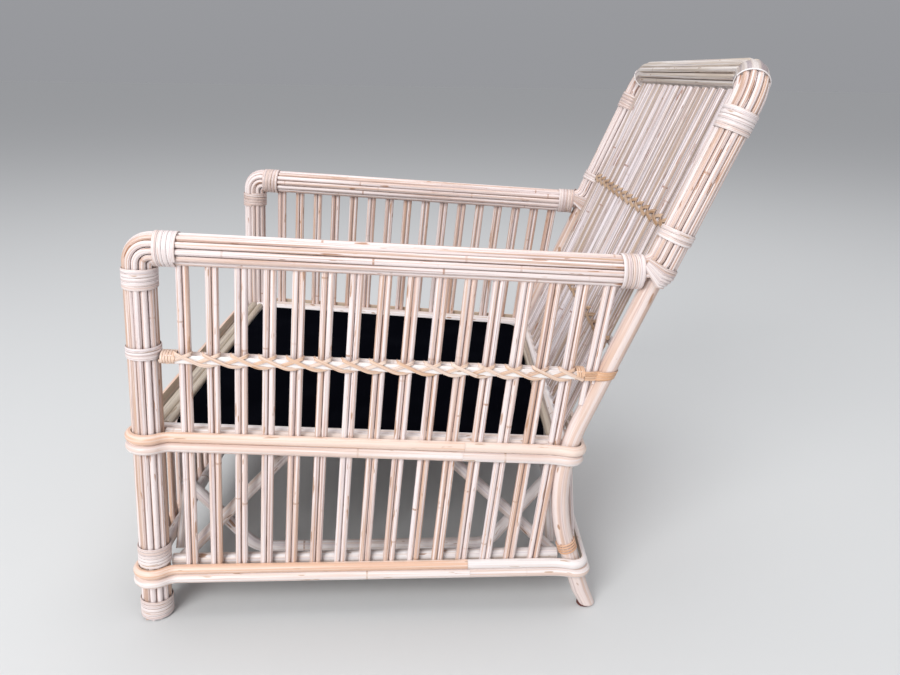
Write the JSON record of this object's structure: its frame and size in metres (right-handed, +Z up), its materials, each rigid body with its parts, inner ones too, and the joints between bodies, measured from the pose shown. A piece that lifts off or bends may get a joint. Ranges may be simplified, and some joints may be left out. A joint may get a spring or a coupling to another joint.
{
  "type": "rattan lounge chair",
  "caption": "Low rattan lounge chair with bundled cane arms and back, paired cane slats, half-round bands round the base and a dark cloth seat deck.",
  "frame": {"origin": "on the floor under the centre of the bounding box", "axes": "+Z up, the sitter faces -Y, +X is the sitter's left, which is the near side in the picture"},
  "size_m": [0.7234, 0.8554, 0.7888],
  "materials": {
    "bundle_cane": "whitewashed rattan, low sheen",
    "slat_cane": "whitewashed rattan, low sheen",
    "frame_pole": "whitewashed rattan pole, low sheen",
    "band_cane": "split rattan, low sheen",
    "wound_peel": "wound rattan peel, low sheen",
    "lashing_peel": "rattan peel, satin",
    "bead_cane": "rattan, low sheen",
    "deck_cloth": "close woven cloth, faint sheen",
    "webbing": "woven webbing",
    "glide": "matte"
  },
  "bodies": {
    "root": {"back_lashing_lower": "lashing_peel", "back_lashing_upper": "lashing_peel", "back_rail_lower": "frame_pole", "back_rail_upper": "frame_pole", "back_slats": "slat_cane", "base_band_lower": "band_cane", "base_band_upper": "band_cane", "base_rail_front": "frame_pole", "base_rail_rear": "frame_pole", "front_arch_brace": "frame_pole", "front_slats": "slat_cane", "left_arch_brace": "frame_pole", "left_arm_bindings": "wound_peel", "left_arm_canes": "bundle_cane", "left_base_rail": "frame_pole", "left_bow_brace": "frame_pole", "left_corner_wrap": "wound_peel", "left_leg_bindings": "wound_peel", "left_lower_arm_canes": "bundle_cane", "left_post_and_arm_pole": "frame_pole", "left_post_bindings": "wound_peel", "left_rear_leg": "frame_pole", "left_rear_upright_canes": "frame_pole", "left_seat_rail": "frame_pole", "left_side_lashing": "lashing_peel", "left_side_rail": "frame_pole", "left_side_rail_wraps": "wound_peel", "left_side_slats": "slat_cane", "left_upright_bindings": "wound_peel", "rear_arch_brace": "frame_pole", "rear_glides": "glide", "rear_slats": "slat_cane", "right_arch_brace": "frame_pole", "right_arm_bindings": "wound_peel", "right_arm_canes": "bundle_cane", "right_base_rail": "frame_pole", "right_bow_brace": "frame_pole", "right_corner_wrap": "wound_peel", "right_leg_bindings": "wound_peel", "right_lower_arm_canes": "bundle_cane", "right_post_and_arm_pole": "frame_pole", "right_post_bindings": "wound_peel", "right_rear_leg": "frame_pole", "right_rear_upright_canes": "frame_pole", "right_seat_rail": "frame_pole", "right_side_lashing": "lashing_peel", "right_side_rail": "frame_pole", "right_side_rail_wraps": "wound_peel", "right_side_slats": "slat_cane", "right_upright_bindings": "wound_peel", "seat_band_lower": "band_cane", "seat_band_upper": "band_cane", "seat_beading": "bead_cane", "seat_deck": "deck_cloth", "seat_rail_front": "frame_pole", "seat_rail_rear": "frame_pole", "seat_webbing": "webbing", "top_rail_canes": "bundle_cane", "top_rail_pole": "frame_pole"}
  },
  "joints": []
}
